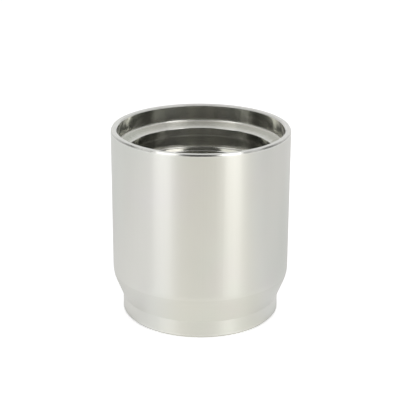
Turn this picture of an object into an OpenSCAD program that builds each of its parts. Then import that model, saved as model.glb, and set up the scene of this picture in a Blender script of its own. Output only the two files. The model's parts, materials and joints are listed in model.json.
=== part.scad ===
// Crimp hose ferrule: a steel sleeve, turned from bar in one piece, that a press
// squeezes over a hose end and the nipple inside it.
// The axis is Z. The neck stands on Z = 0 and the mouth opens upwards. Sizes in mm.

/* [Body] */
// Outside diameter of the straight body, which the press squeezes
body_d = 58; // [40:0.5:80]
// Overall length, from the foot of the neck to the rim of the mouth
sleeve_l = 62.5; // [45:0.5:100]
// Height of the chamfer on the outer edge of the rim
rim_chamfer = 0.5; // [0.2:0.1:0.8]
// Slope of that chamfer, measured from the axis
rim_slope = 30; // [15:1:45]

/* [Neck] */
// Step from the outside of the body in to the outside of the neck
neck_step = 3.2; // [1.5:0.1:4.2]
// Height of the neck, from its foot to the shoulder cone
neck_h = 5.8; // [4:0.1:9]
// Slope of the shoulder cone, measured from the axis
shoulder_angle = 22; // [14:1:40]
// Radius that blends the shoulder cone into the body
shoulder_r = 10; // [2:0.5:16]
// Chamfer round the foot of the neck
foot_chamfer = 0.8; // [0.4:0.1:1.6]

/* [Lip] */
// Height of the lip inside the hose's bore, which closes behind the collar of the nipple
lip_h = 4.1; // [2.5:0.1:6]
// Thickness of the lip along the axis
lip_t = 6; // [4:0.1:9]
// Chamfer on both edges of the lip's bore
lip_chamfer = 0.6; // [0.2:0.1:1.2]

/* [Mouth] */
// Wall of the mouth, whose bore takes the outer cover of the hose
mouth_wall = 2; // [1.4:0.1:4]
// Depth of the mouth's bore, from the rim to the entry cone
mouth_depth = 5.5; // [3:0.1:12]
// Slope of the entry cone down to the first rib, measured from a plane across the axis
entry_angle = 26; // [10:1:40]
// Chamfer on the inner edge of the rim
mouth_chamfer = 0.4; // [0.1:0.1:0.6]

/* [Ribs] */
// Wall left at the bottom of the grooves between the ribs
groove_wall = 2.3; // [1.5:0.1:3]
// Height of the ribs that bite into the hose, from the bottom of a groove to a crest
rib_h = 3.1; // [2.2:0.1:4]
// Distance from one rib to the next
rib_pitch = 8.1; // [6:0.1:12]
// Width of the flat crest of a rib
crest_w = 2.7; // [1:0.1:3.5]
// Slope of a rib's flank towards the mouth, measured from a plane across the axis
lead_angle = 4; // [0:1:20]
// Slope of a rib's flank towards the neck, measured from the same plane
bite_angle = 8; // [0:1:20]
// Nose radius of the turning tool, left in every inside corner
corner_r = 0.4; // [0.1:0.1:0.6]
// Radius that breaks the edges of a crest
crest_r = 0.2; // [0.1:0.05:0.4]

/* [Hidden] */
$fn = 96;

// Radii, counted in from the outside of the body
body_r = body_d / 2;
neck_r = body_r - neck_step;
mouth_r = body_r - mouth_wall;
groove_r = body_r - groove_wall;
rib_r = groove_r - rib_h;
lip_r = rib_r - lip_h;

// Where the lines of the cone and the body cross, and where the blend between them ends
shoulder_z = neck_h + neck_step / tan(shoulder_angle);
body_z = shoulder_z + shoulder_r * tan(shoulder_angle / 2);

// How far the entry cone and each flank run along the axis
entry_h = (mouth_r - rib_r) * tan(entry_angle);
groove_lead = rib_h * tan(lead_angle);
groove_bite = rib_h * tan(bite_angle);

// The ribs start below the mouth's bore, and grooves stay within the straight body
first_crest_z = sleeve_l - mouth_depth - entry_h;
last_rib = floor((first_crest_z + groove_lead - body_z) / rib_pitch);

// How far the steps of a rounded corner may stray from the true arc
arc_error = 0.004;

// Height of the mouth-side edge of crest i, counted from the mouth
function crest_z(i) = first_crest_z - i * rib_pitch;

// The groove above rib i: the flank towards the neck of the rib before it, then its own flank
// towards the mouth.
// Each entry is a corner of the section: radius from the axis, height, rounding.
function groove(i) = [
    [rib_r, crest_z(i - 1) - crest_w, crest_r],
    [groove_r, crest_z(i - 1) - crest_w - groove_bite, corner_r],
    [groove_r, crest_z(i) + groove_lead, corner_r],
    [rib_r, crest_z(i), crest_r]
];

function unit(v) = v / norm(v);
function flat(p) = [p[0], p[1]];

// The points that round the corner b between a and c: an arc tangent to both sides, or b itself
function rounded(a, b, c) =
    b[2] == 0 ? [flat(b)] :
    let (
        u = unit(flat(a) - flat(b)),
        v = unit(flat(c) - flat(b)),
        half = acos(u * v) / 2,
        centre = flat(b) + unit(u + v) * b[2] / sin(half),
        from = flat(b) + u * b[2] / tan(half) - centre,
        side = sign(u[1] * v[0] - u[0] * v[1]),
        sweep = side * (180 - 2 * half),
        steps = ceil(abs(sweep) / (2 * acos(1 - arc_error / b[2])))
    )
    [for (k = [0 : steps])
        let (t = sweep * k / steps)
        centre + [from[0] * cos(t) - from[1] * sin(t), from[0] * sin(t) + from[1] * cos(t)]];

function outline(corners) = [
    for (k = [0 : len(corners) - 1])
        each rounded(
            corners[(k + len(corners) - 1) % len(corners)],
            corners[k],
            corners[(k + 1) % len(corners)]
        )
];

// Half of the section through the axis, outside first and then down the bore
section = concat(
    [
        [neck_r - foot_chamfer, 0, 0],
        [neck_r, foot_chamfer, 0],
        [neck_r, neck_h, corner_r],
        [body_r, shoulder_z, shoulder_r],
        [body_r, sleeve_l - rim_chamfer, 0],
        [body_r - rim_chamfer * tan(rim_slope), sleeve_l, 0],
        [mouth_r + mouth_chamfer, sleeve_l, 0],
        [mouth_r, sleeve_l - mouth_chamfer, 0],
        [mouth_r, sleeve_l - mouth_depth, corner_r],
        [rib_r, crest_z(0), crest_r]
    ],
    [for (i = [1 : 1 : last_rib]) each groove(i)],
    [
        [rib_r, lip_t, corner_r],
        [lip_r + lip_chamfer, lip_t, 0],
        [lip_r, lip_t - lip_chamfer, 0],
        [lip_r, lip_chamfer, 0],
        [lip_r + lip_chamfer, 0, 0]
    ]
);

module ferrule() {
    color([0.78, 0.78, 0.74])
        rotate_extrude()
            polygon(outline(section));
}

ferrule();
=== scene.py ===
# %% [markdown]
# # A crimp hose ferrule in bright plated steel
# A ferrule is the sleeve on the end of a hydraulic hose. The hose goes in at the wide mouth, a nipple
# goes in at the neck, and a press squeezes the sleeve until its ribs bite into the hose.
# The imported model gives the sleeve's true size and place, and this script gives it its finish.
# Everything is in metres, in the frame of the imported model: the axis is Z and the neck stands on Z = 0.

import json
import math

import bpy
import numpy as np
from mathutils import Matrix, Vector


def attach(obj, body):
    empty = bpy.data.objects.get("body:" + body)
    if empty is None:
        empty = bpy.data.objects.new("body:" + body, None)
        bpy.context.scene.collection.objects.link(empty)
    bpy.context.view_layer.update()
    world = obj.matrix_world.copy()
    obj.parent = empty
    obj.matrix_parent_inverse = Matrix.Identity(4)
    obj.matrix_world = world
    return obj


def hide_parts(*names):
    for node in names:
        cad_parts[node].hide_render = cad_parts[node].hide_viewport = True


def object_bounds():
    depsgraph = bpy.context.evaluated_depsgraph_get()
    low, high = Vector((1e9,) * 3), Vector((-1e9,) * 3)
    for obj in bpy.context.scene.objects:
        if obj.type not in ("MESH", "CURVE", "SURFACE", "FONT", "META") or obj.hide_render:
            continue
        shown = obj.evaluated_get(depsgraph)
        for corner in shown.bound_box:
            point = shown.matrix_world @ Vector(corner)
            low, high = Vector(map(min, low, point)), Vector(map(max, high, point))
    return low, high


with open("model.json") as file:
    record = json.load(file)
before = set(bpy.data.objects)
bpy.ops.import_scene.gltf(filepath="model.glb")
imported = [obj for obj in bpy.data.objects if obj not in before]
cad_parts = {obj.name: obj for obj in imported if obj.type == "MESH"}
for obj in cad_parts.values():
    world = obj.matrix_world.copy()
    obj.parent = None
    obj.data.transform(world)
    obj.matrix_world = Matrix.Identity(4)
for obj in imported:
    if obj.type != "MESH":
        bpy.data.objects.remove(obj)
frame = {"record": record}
cad_box = [list(corner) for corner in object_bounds()]
scene = bpy.context.scene
mm = 0.001
print("packed box in mm:", [[round(x / mm, 2) for x in corner] for corner in cad_box])

# %% [markdown]
# ## The camera
# A product photograph is taken from a few sleeve lengths away, so the rim's ellipse is flatter than the
# foot's. The camera could be placed by eye. Here it stands where a pinhole camera fits the outlines in
# the photograph, and it is turned a little so that the sleeve's middle falls on the same pixel.

# %% Camera
picture_width = 400
lens = 110.62
sensor_width = 36.0
camera_distance = 405.96 * mm
camera_elevation = math.radians(20.845)
camera_roll = math.radians(0.25)
middle_pixel = (200.63, 218.26)
nearest_seen = 10 * mm
# A new camera looks straight down, and this turn about X makes it look level
level = math.radians(90)


def rotation(angle, axis):
    """A turn by an angle about one axis, as a matrix of 4 by 4."""
    return Matrix.Rotation(angle, 4, axis)


low_corner, high_corner = (Vector(corner) for corner in cad_box)
sleeve_middle = (low_corner + high_corner) / 2
focal_pixels = lens / sensor_width * picture_width
turn_left, turn_up = (math.atan((p - picture_width / 2) / focal_pixels) for p in middle_pixel)

away = Vector((0, -math.cos(camera_elevation), math.sin(camera_elevation)))
camera_data = bpy.data.cameras.new("studio_camera")
camera_data.lens = lens
camera_data.sensor_width = sensor_width
camera_data.clip_start = nearest_seen
camera = bpy.data.objects.new("studio_camera", camera_data)
camera.matrix_world = (
    Matrix.Translation(sleeve_middle + away * camera_distance)
    @ rotation(level - camera_elevation, "X")
    @ rotation(turn_left, "Y")
    @ rotation(turn_up, "X")
    @ rotation(camera_roll, "Z")
)
scene.collection.objects.link(camera)
scene.camera = camera
print("camera at mm:", [round(x / mm, 1) for x in camera.location])

# %% [markdown]
# ## Small helpers for shader nodes
# Materials, the room and the table are all node trees. They could be wired by hand in the editor. In a
# script a few short helpers keep them readable: one adds any node, and the others are the sums, ramps and
# mixes that are used again and again.

# %% Node helpers
def put(tree, kind, inputs=None, **settings):
    """Adds a node, applies its settings, and fills each named input with a value or a link."""
    made = tree.nodes.new(kind)
    for name, value in settings.items():
        setattr(made, name, value)
    for name, value in (inputs or {}).items():
        if isinstance(value, bpy.types.NodeSocket):
            tree.links.new(value, made.inputs[name])
        else:
            made.inputs[name].default_value = value
    return made


def calc(tree, operation, a, b=0.0):
    """One operation on two numbers, such as ADD or MAXIMUM, or on the first alone, such as ABSOLUTE."""
    return put(tree, "ShaderNodeMath", {0: a, 1: b}, operation=operation).outputs[0]


def dot(tree, vector, axis):
    """How far a vector reaches along an axis: the sum of the products of their parts."""
    made = put(tree, "ShaderNodeVectorMath", {0: vector, 1: axis}, operation="DOT_PRODUCT")
    return made.outputs["Value"]


def unit(tree, vector):
    """The vector divided by its length, which leaves its direction."""
    return put(tree, "ShaderNodeVectorMath", {0: vector}, operation="NORMALIZE").outputs[0]


def ramp(tree, value, start, end, low=0.0, high=1.0):
    """Smooth step: low up to start, high from end, and an S-shaped change between them."""
    return put(tree, "ShaderNodeMapRange", {
        "Value": value,
        "From Min": start,
        "From Max": end,
        "To Min": low,
        "To Max": high,
    }, interpolation_type="SMOOTHSTEP").outputs["Result"]


def mix(tree, share, first, second, blend="MIX"):
    """Two colours mixed by a share. A Mix node has its colours at inputs 6 and 7 and at output 2."""
    inputs = {0: share, 6: first, 7: second}
    return put(tree, "ShaderNodeMix", inputs, data_type="RGBA", blend_type=blend).outputs[2]


print("node helpers:", [helper.__name__ for helper in (put, calc, dot, unit, ramp, mix)])

# %% [markdown]
# ## The studio
# Bright metal shows what stands round it, so the studio is half of the finish. It could be a picture of a
# room wrapped round the scene. Here it is the few things that a photographer would set up: a white table
# and backdrop, a dim front where the camera stands, two tall soft boxes that draw the bright bands on the
# body, and two low strips beside them that the rim catches. The backdrop is white to the camera, and the
# rays that metal mirrors see it too.

# %% Room
white = (1, 1, 1, 1)
lit_side = (0, 1, 1.2)
shade_ends = 0.64
light_starts = 0.71
shade_light = 0.10
room_light = 0.78
backdrop_side = (0, 1, 0)
backdrop_starts = 0.5
backdrop_full = 0.9
backdrop_light = 0.96

scene.view_settings.view_transform = "Standard"
world = bpy.data.worlds.new("white_studio")
world.use_nodes = True
world.node_tree.nodes.clear()
scene.world = world

tree = world.node_tree
direction = put(tree, "ShaderNodeTexCoord").outputs["Generated"]
rays = put(tree, "ShaderNodeLightPath").outputs
towards_light = dot(tree, direction, lit_side)
room = ramp(tree, towards_light, shade_ends, light_starts, shade_light, room_light)
towards_backdrop = dot(tree, direction, backdrop_side)
backdrop = ramp(tree, towards_backdrop, backdrop_starts, backdrop_full, 0.0, backdrop_light)
mirrored = calc(tree, "MAXIMUM", rays["Is Glossy Ray"], rays["Is Transmission Ray"])
shown = calc(tree, "MAXIMUM", rays["Is Camera Ray"], calc(tree, "MULTIPLY", mirrored, backdrop))
strength = calc(tree, "MAXIMUM", room, shown)
sky = put(tree, "ShaderNodeBackground", {"Color": white, "Strength": strength})
put(tree, "ShaderNodeOutputWorld", {"Surface": sky.outputs[0]})
print("room light from", shade_light, "in front to", room_light, "behind and above")

# %% Soft boxes and strips
box_distance = 0.6


def soft_box(name, azimuth, elevation, width, height, brightness):
    """Area lamp that faces the sleeve. Azimuth runs from the camera to the right, and power is
    pi times area times brightness, so that brightness is what a mirror would show."""
    a, e = math.radians(azimuth), math.radians(elevation)
    towards = Vector((math.sin(a) * math.cos(e), -math.cos(a) * math.cos(e), math.sin(e)))
    lamp = bpy.data.lights.new(name, "AREA")
    lamp.shape = "RECTANGLE"
    lamp.size = width
    lamp.size_y = height
    lamp.energy = math.pi * width * height * brightness
    box = bpy.data.objects.new(name, lamp)
    box.location = sleeve_middle + towards * box_distance
    box.rotation_mode = "QUATERNION"
    box.rotation_quaternion = towards.to_track_quat("Z", "Y")
    scene.collection.objects.link(box)
    return box


boxes = [
    soft_box("left_front_box", azimuth=-46, elevation=28.5, width=0.27, height=0.68, brightness=1.86),
    soft_box("right_front_box", azimuth=41, elevation=28.5, width=0.245, height=0.68, brightness=2.45),
    soft_box("left_strip", azimuth=-75, elevation=28, width=0.32, height=0.16, brightness=0.9),
    soft_box("right_strip", azimuth=69, elevation=28, width=0.32, height=0.16, brightness=0.85),
]
print("soft boxes and strips:", [box.name for box in boxes])

# %% [markdown]
# ## The table
# The sleeve stands on white paper. Plain white paper would come out grey under a plain level of light, and
# brighter lamps would burn out the metal. So the paper adds a little glow that only the camera sees, and
# it keeps the sleeve's shadow.

# %% Table
table_half = 4.0

table_mesh = bpy.data.meshes.new("table")
table_corners = np.array([[-1, -1, 0], [1, -1, 0], [1, 1, 0], [-1, 1, 0]]) * table_half
table_mesh.from_pydata(table_corners.tolist(), [], [[0, 1, 2, 3]])
table = bpy.data.objects.new("table", table_mesh)
scene.collection.objects.link(table)
print("table:", 2 * table_half, "m across")

# %% Paper as the camera sees it
paper_white = (0.82, 0.82, 0.82, 1)
camera_glow = 0.55

table_paper = bpy.data.materials.new("table_paper")
table_paper.use_nodes = True
table_mesh.materials.append(table_paper)
tree = table_paper.node_tree
tree.nodes.clear()
rays = put(tree, "ShaderNodeLightPath").outputs
paper = put(tree, "ShaderNodeBsdfDiffuse", {"Color": paper_white})
glow_strength = calc(tree, "MULTIPLY", rays["Is Camera Ray"], camera_glow)
glow = put(tree, "ShaderNodeEmission", {"Strength": glow_strength})
lit_paper = put(tree, "ShaderNodeAddShader", {0: paper.outputs[0], 1: glow.outputs[0]})
print("paper of tone", paper_white[0], "with a glow of", camera_glow, "for the camera")

# %% [markdown]
# ## The paper in the metal
# The metal mirrors the paper all round it, and in a studio that paper isn't lit evenly. So the paper that
# the metal sees has light and shade painted on it: a painted pool of warm light in front, where the soft
# boxes stand, less light at the sides, and the sleeve's painted shadow in a wedge behind. Close to the foot
# it has painted shade on the left and painted light on the right. Under the sleeve the metal sees the lit
# paper itself, which is dark there. More lamps and cards could give these tones. Smooth steps over the
# paper's own places are easier to steer, and they stay where they are when the view turns.

# %% Painted light from front to side
# Painted light: the paper that the metal sees is brightest in front, where the soft boxes stand
front_white = (1.0, 1.0, 0.995, 1)
side_white = (0.885, 0.885, 0.88, 1)
away_axis = (0.2, 1, 0)
front_ends = -0.55
side_starts = 0.2

where = put(tree, "ShaderNodeTexCoord").outputs["Object"]
from_axis = put(tree, "ShaderNodeVectorMath", {0: where}, operation="LENGTH").outputs["Value"]
heading = unit(tree, where)
to_side = ramp(tree, dot(tree, heading, away_axis), front_ends, side_starts)
tone = mix(tree, to_side, front_white, side_white)
print("paper in the metal:", front_white[0], "in front,", side_white[0], "at the sides")

# %% A painted shadow in a wedge behind
# Painted shadow: the sleeve's shadow from the front boxes, deepest close to the sleeve
back_white = (0.73, 0.73, 0.725, 1)
far_white = (0.80, 0.80, 0.795, 1)
back_radius = 60 * mm
far_radius = 210 * mm
right_axis = (1, 0, 0)
back_axis = (0, 1, 0)
wedge_middle = 28 * mm
wedge_slope = 0.7
wedge_starts = -64 * mm
wedge_full = 16 * mm
bright_front_ends = -0.9
bright_front_over = -0.4

off_middle = calc(tree, "SUBTRACT", dot(tree, where, right_axis), wedge_middle)
narrowing = calc(tree, "MULTIPLY", calc(tree, "ABSOLUTE", off_middle), wedge_slope)
into_wedge = calc(tree, "SUBTRACT", dot(tree, where, back_axis), narrowing)
backwards = dot(tree, heading, back_axis)
past_front = ramp(tree, backwards, bright_front_ends, bright_front_over)
to_back = calc(tree, "MULTIPLY", ramp(tree, into_wedge, wedge_starts, wedge_full), past_front)
back_tone = mix(tree, ramp(tree, from_axis, back_radius, far_radius), back_white, far_white)
tone = mix(tree, to_back, tone, back_tone)
print("wedge behind:", back_white[0], "near the sleeve,", far_white[0], "far from it")

# %% Painted shade and light beside the foot, and painted warm light in front
# Painted shade close to the foot on the left, and painted light on the right
left_of_foot = (-1, 0, 0)
left_shade = (0.90, 0.90, 0.90, 1)
right_of_foot = (1, 0.1, 0)
right_light = (1.12, 1.12, 1.12, 1)
beside_starts = 0.7
beside_full = 0.9
foot_near = 30 * mm
foot_far = 65 * mm
# Painted warm light on the paper in front, towards the soft boxes
warm_light_tint = (1.0, 0.985, 0.93, 1)
warm_axis = (0.26, -0.97, 0)
warm_starts = 0.5
warm_full = 0.9

close_by = ramp(tree, from_axis, foot_near, foot_far, 1.0, 0.0)
for side, change in ((left_of_foot, left_shade), (right_of_foot, right_light)):
    beside = ramp(tree, dot(tree, heading, side), beside_starts, beside_full)
    tone = mix(tree, calc(tree, "MULTIPLY", beside, close_by), tone, change, "MULTIPLY")
to_warm = ramp(tree, dot(tree, heading, warm_axis), warm_starts, warm_full)
tone = mix(tree, to_warm, tone, warm_light_tint, "MULTIPLY")
print("tone beside the foot: times", left_shade[0], "on the left,", right_light[0], "on the right")

# %% Paper as the metal sees it
front_shade_radius = 22.7 * mm
side_shade_radius = 25.5 * mm
shade_blur = 3.5 * mm

shade_edge = ramp(
    tree, backwards, bright_front_ends, bright_front_over, front_shade_radius, side_shade_radius
)
in_the_open = ramp(tree, from_axis, shade_edge, calc(tree, "ADD", shade_edge, shade_blur))
mirrored = calc(tree, "MAXIMUM", rays["Is Glossy Ray"], rays["Is Transmission Ray"])
share = calc(tree, "MULTIPLY", mirrored, in_the_open)
# The paper's painted light and shade, as a glow that only mirrored rays in the open see
bright_paper = put(tree, "ShaderNodeEmission", {"Color": tone})
choice = put(tree, "ShaderNodeMixShader", {0: share, 1: lit_paper.outputs[0], 2: bright_paper.outputs[0]})
put(tree, "ShaderNodeOutputMaterial", {"Surface": choice.outputs[0]})
print("paper:", len(tree.nodes), "nodes")

# %% [markdown]
# ## The section
# A turned part is one outline carried once round an axis. The outline could be traced, or cut from solids.
# Here it is a list of corners, each with the radius of the tool that cut it, and a short function rounds
# every corner with a true arc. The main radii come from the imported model's mounts and its length from its
# box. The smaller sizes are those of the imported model, in the same words.

# %% Radii and heights
mounts = {mount["name"]: mount for mount in frame["record"]["mounts"]}
body_r = mounts["crimp_body"]["dims"]["r_mm"] * mm
mouth_r = mounts["mouth_bore"]["dims"]["r_mm"] * mm
rib_r = mounts["hose_bore"]["dims"]["r_mm"] * mm
lip_r = mounts["lip_bore"]["dims"]["r_mm"] * mm
sleeve_l = high_corner.z

neck_step = 3.2 * mm
groove_wall = 2.3 * mm
neck_h = 5.8 * mm
lip_t = 6.0 * mm
mouth_depth = 5.5 * mm
rib_pitch = 8.1 * mm
crest_w = 2.7 * mm
shoulder_angle = math.radians(22)
entry_angle = math.radians(26)
lead_angle = math.radians(4)
bite_angle = math.radians(8)
rim_slope = math.radians(30)
foot_chamfer = 0.8 * mm
rim_chamfer = 0.5 * mm
mouth_chamfer = 0.4 * mm
lip_chamfer = 0.6 * mm
shoulder_r = 10 * mm
corner_r = 0.4 * mm
crest_r = 0.2 * mm

neck_r = body_r - neck_step
groove_r = body_r - groove_wall
shoulder_z = neck_h + neck_step / math.tan(shoulder_angle)
body_z = shoulder_z + shoulder_r * math.tan(shoulder_angle / 2)
groove_lead = (groove_r - rib_r) * math.tan(lead_angle)
groove_bite = (groove_r - rib_r) * math.tan(bite_angle)
first_crest_z = sleeve_l - mouth_depth - (mouth_r - rib_r) * math.tan(entry_angle)
last_rib = math.floor((first_crest_z + groove_lead - body_z) / rib_pitch)
print("ribs:", last_rib + 1, " first crest at mm:", round(first_crest_z / mm, 3))

# %% Corners of the section
OUTSIDE, CONE, ENDS, ENTRY, BORE = range(5)


def groove_corners(i):
    """The groove above rib i: the flank towards the neck of the rib before it, then its own flank
    towards the mouth. A corner is its radius from the axis, its height, its rounding and its finish."""
    crest = first_crest_z - i * rib_pitch
    crest_before = crest + rib_pitch
    return [
        (rib_r, crest_before - crest_w, crest_r, BORE),
        (groove_r, crest_before - crest_w - groove_bite, corner_r, BORE),
        (groove_r, crest + groove_lead, corner_r, BORE),
        (rib_r, crest, crest_r, BORE),
    ]


corners = [
    (neck_r - foot_chamfer, 0, 0, ENDS),
    (neck_r, foot_chamfer, 0, OUTSIDE),
    (neck_r, neck_h, corner_r, OUTSIDE),
    (body_r, shoulder_z, shoulder_r, OUTSIDE),
    (body_r, sleeve_l - rim_chamfer, 0, ENDS),
    (body_r - rim_chamfer * math.tan(rim_slope), sleeve_l, 0, ENDS),
    (mouth_r + mouth_chamfer, sleeve_l, 0, ENDS),
    (mouth_r, sleeve_l - mouth_chamfer, 0, BORE),
    (mouth_r, sleeve_l - mouth_depth, corner_r, ENTRY),
    (rib_r, first_crest_z, crest_r, BORE),
    *(corner for i in range(1, last_rib + 1) for corner in groove_corners(i)),
    (rib_r, lip_t, corner_r, BORE),
    (lip_r + lip_chamfer, lip_t, 0, BORE),
    (lip_r, lip_t - lip_chamfer, 0, BORE),
    (lip_r, lip_chamfer, 0, BORE),
    (lip_r + lip_chamfer, 0, 0, ENDS),
]
corner_radius, corner_height, rounding, corner_finish = zip(*corners)
flat_corners = np.array([corner_radius, corner_height]).T
print("corners of the section:", len(corners))

# %% Round the corners
arc_step = math.radians(8)
fewest_arc_steps = 2
ring_gap = 0.8 * mm
edge_gap = 0.06 * mm
edge_share = 0.25


def rounded(before, corner, after, radius):
    """Arc tangent to both sides of a corner: its centre lies on the bisector, radius / sin(half) away."""
    if radius == 0:
        return corner[None, :]
    u = (before - corner) / np.linalg.norm(before - corner)
    v = (after - corner) / np.linalg.norm(after - corner)
    half = math.acos(np.clip(u @ v, -1, 1)) / 2
    centre = corner + (u + v) / np.linalg.norm(u + v) * radius / math.sin(half)
    start = corner + u * radius / math.tan(half) - centre
    sweep = (math.pi - 2 * half) * np.sign(u[1] * v[0] - u[0] * v[1])
    steps = max(fewest_arc_steps, math.ceil(abs(sweep) / arc_step))
    turn = np.linspace(0, sweep, steps + 1)[:, None]
    return centre + start * np.cos(turn) + np.array([-start[1], start[0]]) * np.sin(turn)


def straight(start, end):
    """Points between two arcs: even steps of at most ring_gap, and one close to each end, so that the
    shading of an arc doesn't spread into the flat beside it."""
    length = np.linalg.norm(end - start)
    near = min(edge_gap, length * edge_share)
    steps = max(1, math.ceil((length - 2 * near) / ring_gap))
    along = np.linspace(near, length - near, steps + 1)[:, None] / length
    return start + (end - start) * along


def outline(flat, rounding, finish):
    """The closed section: arcs joined by straight stretches, with the finish of each step."""
    arcs = [
        rounded(flat[k - 1], flat[k], flat[(k + 1) % len(flat)], rounding[k])
        for k in range(len(flat))
    ]
    points, finishes = [], []
    for k, arc in enumerate(arcs):
        between = straight(arc[-1], arcs[(k + 1) % len(arcs)][0])
        points += [arc, between]
        finishes += [finish[k]] * (len(arc) + len(between))
    return np.concatenate(points), np.array(finishes)


section, section_finish = outline(flat_corners, rounding, corner_finish)
step_lengths = np.linalg.norm(np.roll(section, -1, axis=0) - section, axis=1)
section_length = step_lengths.sum()
print("section points:", len(section), " length round it in mm:", round(section_length / mm, 2))

# %% Mark the cone
# The cone's finish is a darker copy of the outside's steel, a painted shade, and ends where the lines of the
# cone and the body cross
height = section[:, 1]
on_cone = (section_finish == OUTSIDE) & (height > neck_h) & (height < shoulder_z)
section_finish[on_cone] = CONE
print("section points on the cone:", int(on_cone.sum()))

# %% [markdown]
# ## The sleeve
# A lathe turns the whole sleeve from one bar, so its surface is a function of two parameters: the distance
# along the section and the angle round the axis. A Screw modifier could spin the section. Working it out
# with numpy gives the same surface, and its unrolled map and its edges come from the same arrays.

# %% Turn the section round the axis
turns = 208
smooth_up_to = math.radians(30)


def turned(section, turns):
    """x = r cos(angle), y = r sin(angle), z = height: one ring of points for each point of the section."""
    angle = np.linspace(0, 2 * np.pi, turns, endpoint=False)
    radius, height = section[:, :1], section[:, 1:]
    x, y, z = np.broadcast_arrays(radius * np.cos(angle), radius * np.sin(angle), height)
    ring, spoke = np.meshgrid(np.arange(len(section)), np.arange(turns), indexing="ij")
    next_ring, next_spoke = (ring + 1) % len(section), (spoke + 1) % turns
    quads = np.stack([
        ring * turns + spoke,
        ring * turns + next_spoke,
        next_ring * turns + next_spoke,
        next_ring * turns + spoke,
    ], axis=-1)
    return np.stack([x, y, z], axis=-1).reshape(-1, 3), quads.reshape(-1, 4)


points, quads = turned(section, turns)
sleeve_mesh = bpy.data.meshes.new("sleeve")
sleeve_mesh.from_pydata(points.tolist(), [], quads.tolist())
sleeve_mesh.polygons.foreach_set("use_smooth", np.ones(len(quads), bool))
sleeve_mesh.polygons.foreach_set("material_index", np.repeat(section_finish, turns))
sleeve_mesh.set_sharp_from_angle(angle=smooth_up_to)
print("sleeve triangles:", 2 * len(quads))

# %% Steel in the sleeve
cm = 10 * mm


def turned_volume(section):
    """Steel within a turned section: pi / 3 (r r + r R + R R) times the rise, summed over its steps, where
    r and R are the radii at both ends of a step. A step that goes down counts as negative."""
    radius, height = section.T
    next_radius, next_height = np.roll(section, -1, axis=0).T
    squares = radius**2 + radius * next_radius + next_radius**2
    return np.pi / 3 * (squares * (next_height - height)).sum()


print("steel in cubic cm:", round(turned_volume(section) / cm**3, 2))

# %% [markdown]
# ## An unrolled map and the edges
# The tool leaves its marks round the axis, so the finish has to know which way is round and which is along.
# Blender's own unwrapping would cut the sleeve into islands. Here the map is the section's length against
# the angle, which is exact. Two attributes say how near a point is to an outer edge, where the plating is
# worn shiny and a highlight is painted, or to an inner corner, where a pale line is painted as a highlight.

# %% Unroll the surface
along = np.concatenate([[0], np.cumsum(step_lengths)]) / section_length
around = np.linspace(0, 1, turns + 1)
# Corners 0 and 3 of a quad start its turn and 1 and 2 end it, 0 and 1 start its step and 2 and 3 end it
uv = np.empty((len(section), turns, 4, 2))
uv[:, :, [0, 3], 0] = around[None, :-1, None]
uv[:, :, [1, 2], 0] = around[None, 1:, None]
uv[:, :, [0, 1], 1] = along[:-1, None, None]
uv[:, :, [2, 3], 1] = along[1:, None, None]
unrolled = sleeve_mesh.uv_layers.new(name="unrolled")
unrolled.data.foreach_set("uv", uv.ravel())
print("unrolled map: 1 across is one turn, 1 along is", round(section_length / mm, 1), "mm")

# %% Mark edges and inner corners
sharp_up_to = 1 * mm
edge_width = 0.35 * mm

# The sign of the bend tells an outer edge from an inner corner, and nearness is
# exp(-(distance / edge_width)^2)
incoming = flat_corners - np.roll(flat_corners, 1, axis=0)
outgoing = np.roll(flat_corners, -1, axis=0) - flat_corners
bend = incoming[:, 0] * outgoing[:, 1] - incoming[:, 1] * outgoing[:, 0]
sharp = np.array(rounding) < sharp_up_to
distance = np.linalg.norm(section[:, None] - flat_corners[None], axis=-1)
nearness = np.exp(-(distance / edge_width) ** 2)
for name, chosen in (("edge", sharp & (bend > 0)), ("nook", sharp & (bend < 0))):
    values = np.repeat(nearness[:, chosen].max(axis=1), turns)
    sleeve_mesh.attributes.new(name, "FLOAT", "POINT").data.foreach_set("value", values)
    print(name, "attribute on corners:", int(chosen.sum()))

# %% [markdown]
# ## Turning marks
# A lathe tool cuts one long fine spiral, and the bar shakes a little under it. The first gives lines round
# the sleeve, the second gives broad faint streaks along it. The lines could be modelled as real grooves,
# but they are only thousandths of a millimetre deep. So they are a bump, from noise that is stretched round
# the axis. Every finish of the sleeve uses it, with a feed that fits it, so it is a node group.

# %% Helpers for node groups
def group(name, inputs, outputs):
    """Starts a shader node group: inputs with their first values, outputs with their socket types."""
    tree = bpy.data.node_groups.new(name, "ShaderNodeTree")
    for label, value in inputs.items():
        kind = "NodeSocketColor" if isinstance(value, tuple) else "NodeSocketFloat"
        tree.interface.new_socket(label, in_out="INPUT", socket_type=kind).default_value = value
    for label, kind in outputs.items():
        tree.interface.new_socket(label, in_out="OUTPUT", socket_type=kind)
    given = put(tree, "NodeGroupInput").outputs
    result = put(tree, "NodeGroupOutput").inputs
    return tree, given, result


def noise(tree, place, detail, scale=1.0):
    """Soft noise from 0 to 1 with features of about 1 / scale."""
    made = put(tree, "ShaderNodeTexNoise", {"Vector": place, "Scale": scale, "Detail": detail})
    return made.outputs["Fac"]


print("group helpers:", group.__name__, noise.__name__)

# %% Turning marks
drift_round = 0.5
chatter_round = 18.0
chatter_along = 6.0
mark_detail = 1.0
chatter_detail = 2.0
across_only = (1, 1, 0)

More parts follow.
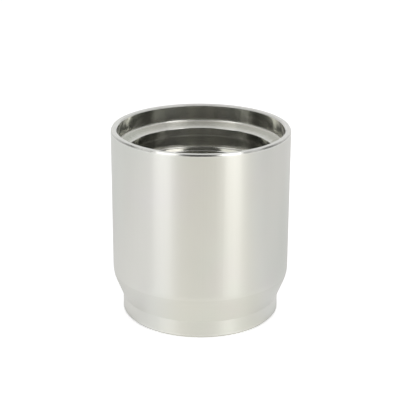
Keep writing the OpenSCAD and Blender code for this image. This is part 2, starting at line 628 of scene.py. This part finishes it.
tree, given, result = group(
    "turning_marks",
    {"Feed": 0.25, "Chatter": 3.0},
    {"Height": "NodeSocketFloat", "Lines": "NodeSocketFloat"},
)
turning_marks = tree
map_place = put(tree, "ShaderNodeUVMap", uv_map="unrolled").outputs["UV"]
along_mm = dot(tree, map_place, (0, section_length / mm, 0))
place = put(tree, "ShaderNodeTexCoord").outputs["Object"]
flat_place = put(tree, "ShaderNodeVectorMath", {0: place, 1: across_only}, operation="MULTIPLY")
outwards = unit(tree, flat_place.outputs[0])


def round_and_along(tree, turn_scale, length):
    """A place in noise that goes round a circle of radius turn_scale and moves along by length."""
    inputs = {0: outwards, "Scale": turn_scale}
    circle = put(tree, "ShaderNodeVectorMath", inputs, operation="SCALE").outputs[0]
    line = put(tree, "ShaderNodeCombineXYZ", {"Z": length}).outputs[0]
    return put(tree, "ShaderNodeVectorMath", {0: circle, 1: line}, operation="ADD").outputs[0]


feeds = calc(tree, "DIVIDE", along_mm, given["Feed"])
lines = noise(tree, round_and_along(tree, drift_round, feeds), mark_detail)
lengths = dot(tree, place, (0, 0, chatter_along))
chatter = noise(tree, round_and_along(tree, chatter_round, lengths), chatter_detail)
streaks = calc(tree, "MULTIPLY", chatter, given["Chatter"])
tree.links.new(lines, result["Lines"])
tree.links.new(calc(tree, "ADD", lines, streaks), result["Height"])
print("turning marks:", len(tree.nodes), "nodes")

# %% [markdown]
# ## Plating
# The steel is plated bright and rinsed in a clear bath that leaves a film thinner than a wavelength of
# light. Where it is a little thicker the metal turns straw yellow, faintly green or faintly pink. A
# thin-film shader could work that out, but the exported model would lose it. Here a slow change between
# three pale tints shows the same, and a second, finer noise is the haze that hands and racks leave on the
# gloss.

# %% Plating
straw = (1.0, 0.99, 0.93, 1)
green = (0.975, 1.0, 0.94, 1)
pink = (1.0, 0.972, 0.95, 1)
tint_scale = 28.0
pink_scale = 40.0
tint_detail = 2.0
haze_scale = 130.0
haze_detail = 4.0
noise_low = 0.38
noise_high = 0.62
pink_starts = 0.52
pink_full = 0.72

tree, given, result = group(
    "plating",
    {"Metal": white, "Tint": 1.0},
    {"Colour": "NodeSocketColor", "Haze": "NodeSocketFloat"},
)
plating = tree
place = put(tree, "ShaderNodeTexCoord").outputs["Object"]
greenish = ramp(tree, noise(tree, place, tint_detail, tint_scale), noise_low, noise_high)
pinkish = ramp(tree, noise(tree, place, tint_detail, pink_scale), pink_starts, pink_full)
film = mix(tree, pinkish, mix(tree, greenish, straw, green), pink)
film = mix(tree, given["Tint"], white, film)
haze = ramp(tree, noise(tree, place, haze_detail, haze_scale), noise_low, noise_high)
tree.links.new(mix(tree, 1.0, given["Metal"], film, "MULTIPLY"), result["Colour"])
tree.links.new(haze, result["Haze"])
print("plating:", len(tree.nodes), "nodes")

# %% [markdown]
# ## Edges and inner corners
# Sleeves are plated loose in a barrel and knock together, so their outer edges come out polished, with
# small gaps where nothing touched them, and a painted highlight brightens them too. In the inner corners
# a pale line is painted as a highlight, in long stretches. Painting both by hand would follow one sleeve
# only. Here the two attributes say where they are, and noise breaks them up.

# %% Worn edges and painted highlights
wear_scale = 700.0
wear_detail = 3.0
wear_starts = 0.20
wear_full = 0.70
stretch_scale = 120.0
stretch_detail = 1.0
stretch_starts = 0.20
stretch_full = 0.45

tree, given, result = group(
    "edge_wear_and_highlights",
    {"Wear and highlight": 1.0, "Nook highlight": 1.0},
    {"Bright": "NodeSocketFloat", "Pale": "NodeSocketFloat"},
)
edge_wear_and_highlights = tree
place = put(tree, "ShaderNodeTexCoord").outputs["Object"]
patches = ramp(tree, noise(tree, place, wear_detail, wear_scale), wear_starts, wear_full)
stretches = ramp(tree, noise(tree, place, stretch_detail, stretch_scale), stretch_starts, stretch_full)
# Outer edges: worn plating with a painted highlight. Inner corners: a pale line painted as a highlight.
for attribute, spread, amount, mask in (
    ("edge", patches, "Wear and highlight", "Bright"),
    ("nook", stretches, "Nook highlight", "Pale"),
):
    near = put(tree, "ShaderNodeAttribute", attribute_name=attribute).outputs["Fac"]
    broken = calc(tree, "MULTIPLY", near, spread)
    tree.links.new(calc(tree, "MULTIPLY", broken, given[amount]), result[mask])
print("edge wear:", len(tree.nodes), "nodes")

# %% [markdown]
# ## Five finishes of one metal
# The outside was turned with the widest feed and plated satin, and its cone is a darker copy of the same
# steel, a painted shade. The rim and foot were faced. The bore is smoother and almost mirrors, and its steel
# is a darker copy, a painted shade inside the sleeve, so the entry cone at its top is brighter. They could be
# five materials, each drawn by itself. One function with a few sets of values keeps them one metal. Lines
# round the axis spread a reflection up and down, which is what the Anisotropic socket is for.

# %% Steel
# The edges' colour is worn plating with a painted highlight, and the inner corners' pale colour is a painted
# highlight
burnished_highlight = (0.86, 0.855, 0.83, 1)
nook_highlight = (0.88, 0.87, 0.82, 1)
nook_matt = 0.3
across_the_lines = 0.25


def plated_steel(name, metal, roughness, grain, feed, depth, chatter,
                 line_gloss, haze_gloss, tint, wear_and_highlight, nook_highlight_share):
    """Metal with turning marks, plating tint, and worn edges with a painted highlight. Roughness is the
    middle value, which the marks and the haze move up and down by line_gloss and haze_gloss, and the painted
    pale lines in the inner corners add to it."""
    made = bpy.data.materials.new(name)
    made.use_nodes = True
    tree = made.node_tree
    tree.nodes.clear()
    marks = put(tree, "ShaderNodeGroup", {"Feed": feed, "Chatter": chatter}, node_tree=turning_marks)
    film = put(tree, "ShaderNodeGroup", {"Metal": metal, "Tint": tint}, node_tree=plating)
    edges = put(tree, "ShaderNodeGroup", {"Wear and highlight": wear_and_highlight, "Nook highlight": nook_highlight_share}, node_tree=edge_wear_and_highlights)
    # Painted highlights: the worn edges are brightened, and a pale line is painted in the inner corners
    worn_and_highlit = mix(tree, edges.outputs["Bright"], film.outputs["Colour"], burnished_highlight)
    colour = mix(tree, edges.outputs["Pale"], worn_and_highlit, nook_highlight)
    gloss = roughness - line_gloss - haze_gloss
    for mask, amount in (
        (marks.outputs["Lines"], 2 * line_gloss),
        (film.outputs["Haze"], 2 * haze_gloss),
        (edges.outputs["Pale"], nook_matt),
    ):
        gloss = calc(tree, "ADD", calc(tree, "MULTIPLY", mask, amount), gloss)
    bump = put(tree, "ShaderNodeBump", {"Height": marks.outputs["Height"], "Distance": depth})
    tangent = put(tree, "ShaderNodeTangent", direction_type="UV_MAP", uv_map="unrolled")
    steel = put(tree, "ShaderNodeBsdfPrincipled", {
        "Base Color": colour,
        "Metallic": 1.0,
        "Roughness": gloss,
        "Anisotropic": grain,
        "Anisotropic Rotation": across_the_lines,
        "Tangent": tangent.outputs[0],
        "Normal": bump.outputs[0],
    })
    put(tree, "ShaderNodeOutputMaterial", {"Surface": steel.outputs[0]})
    return made


print("one function for every finish:", plated_steel.__name__)

# %% Finishes
satin_metal = (0.745, 0.745, 0.727, 1)
# The cone's metal and the bore's metal are darker copies of the steel: painted shade on the cone and in the
# bore
shaded_cone_metal = (0.715, 0.715, 0.695, 1)
bright_metal = (0.615, 0.615, 0.596, 1)
entry_metal = (0.74, 0.74, 0.72, 1)
shaded_bore_metal = (0.63, 0.63, 0.613, 1)
satin = dict(
    roughness=0.325, grain=0.78, feed=0.40, depth=0.002 * mm, chatter=16.0,
    line_gloss=0.006, haze_gloss=0.004, tint=0.5, wear_and_highlight=0.6, nook_highlight_share=0.0,
)
faced = dict(
    roughness=0.24, grain=0.60, feed=0.20, depth=0.002 * mm, chatter=3.0,
    line_gloss=0.01, haze_gloss=0.01, tint=0.4, wear_and_highlight=0.3, nook_highlight_share=0.0,
)
bored = dict(
    roughness=0.15, grain=0.80, feed=0.25, depth=0.003 * mm, chatter=8.0,
    line_gloss=0.01, haze_gloss=0.01, tint=0.7, wear_and_highlight=0.6, nook_highlight_share=1.0,
)

# In the order of OUTSIDE, CONE, ENDS, ENTRY and BORE, which number the faces' materials
finishes = [
    plated_steel("plated_outside", satin_metal, **satin),
    plated_steel("plated_cone_shaded", shaded_cone_metal, **satin),
    plated_steel("plated_ends", bright_metal, **faced),
    plated_steel("plated_entry", entry_metal, **bored),
    plated_steel("plated_bore_shaded", shaded_bore_metal, **bored),
]
for finish in finishes:
    sleeve_mesh.materials.append(finish)
print("finishes:", [finish.name for finish in finishes])

# %% [markdown]
# ## The finished sleeve
# The smooth sleeve stands for the imported solid of the same form, which stays in the background as the shape
# that things bump into.

# %% Put the sleeve in the frame
sleeve = bpy.data.objects.new("sleeve", sleeve_mesh)
scene.collection.objects.link(sleeve)
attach(sleeve, "root")
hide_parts("ferrule")
print("sleeve:", len(sleeve_mesh.polygons), "faces in", len(sleeve_mesh.materials), "finishes")
